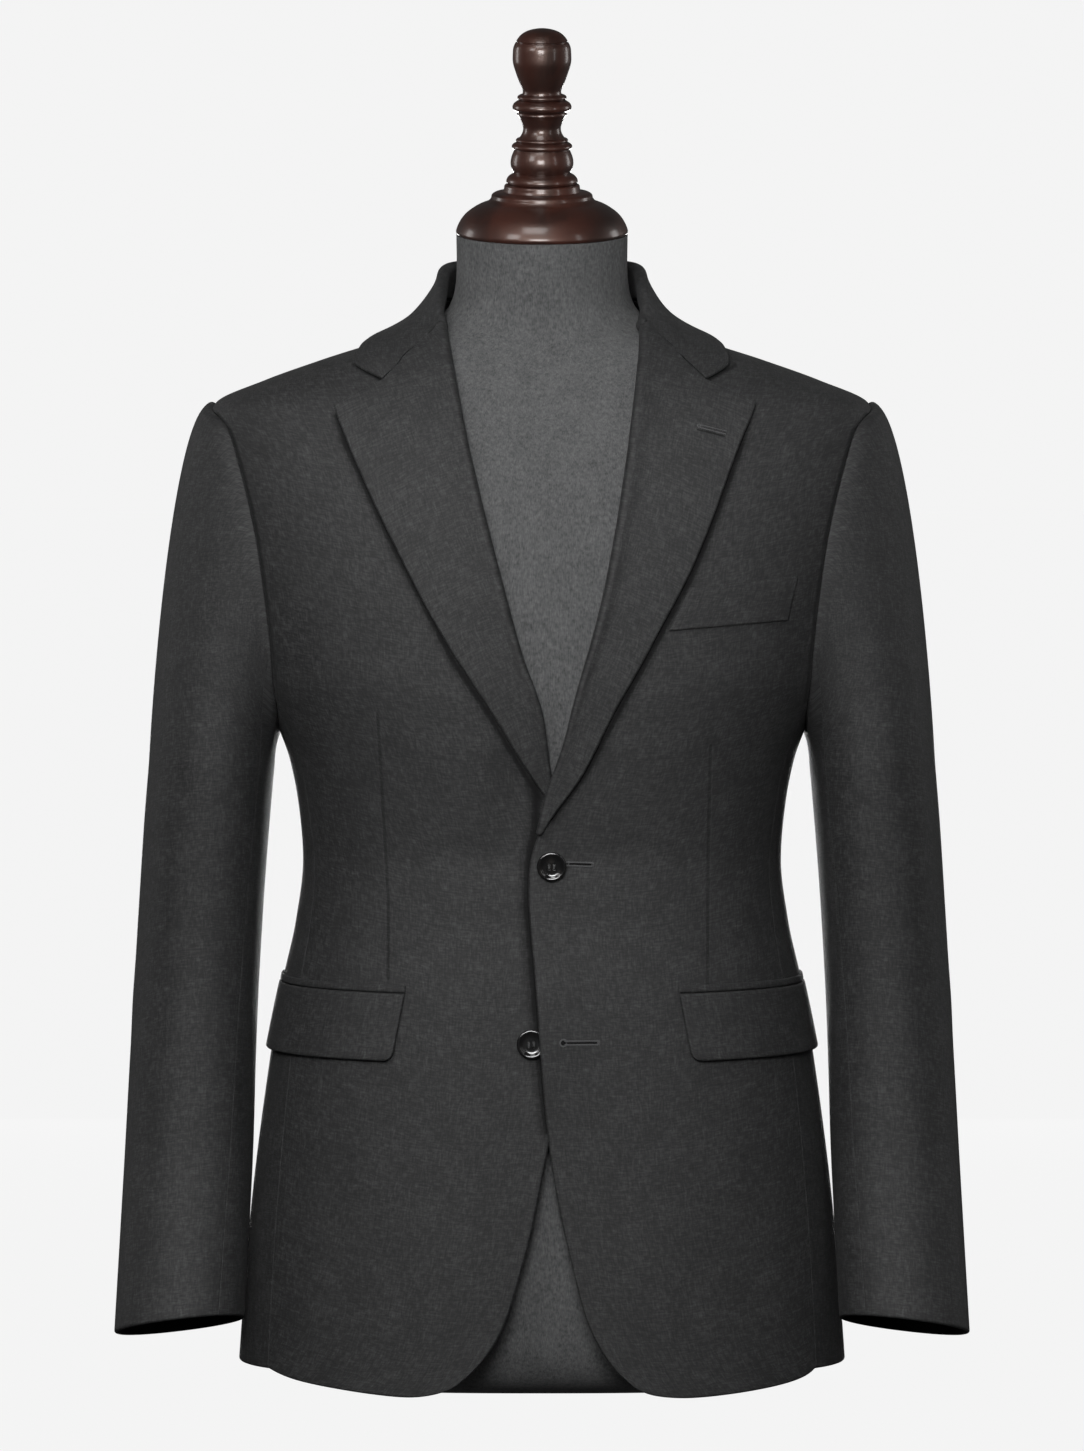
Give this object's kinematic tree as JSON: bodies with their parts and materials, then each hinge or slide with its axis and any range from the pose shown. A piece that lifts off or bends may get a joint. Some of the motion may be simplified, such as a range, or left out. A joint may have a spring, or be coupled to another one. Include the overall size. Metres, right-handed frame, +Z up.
{
  "type": "suit jacket on dress form",
  "caption": "Single-breasted notch-lapel suit jacket with flap pockets, buttoned on a limbless tailor's form with a turned cap and finial.",
  "frame": {"origin": "middle of the bottom of the whole part, on the surface the form stands on", "axes": "+Z up, front towards -Y, the wearer's left towards +X"},
  "size_m": [0.5876, 0.2598, 0.9361],
  "materials": {
    "wool": "fine charcoal melange worsted, matt",
    "button": "polished black, four holes",
    "form_cloth": "dark grey melange cloth stretched smooth",
    "turned_wood": "dark red-brown, high gloss lacquer"
  },
  "bodies": {
    "root": {"front_left": "wool", "front_right": "wool", "side_left": "wool", "side_right": "wool", "back_left": "wool", "back_right": "wool", "lapel_left": "wool", "lapel_right": "wool", "top_sleeve_left": "wool", "top_sleeve_right": "wool", "under_sleeve_left": "wool", "under_sleeve_right": "wool", "flap_left": "wool", "flap_right": "wool", "jet_left": "wool", "jet_right": "wool", "collar": "wool", "collar_stand": "wool", "breast_welt": "wool", "button_upper": "button", "button_lower": "button", "form_body": "form_cloth", "form_cap": "turned_wood", "form_finial": "turned_wood"}
  },
  "joints": []
}
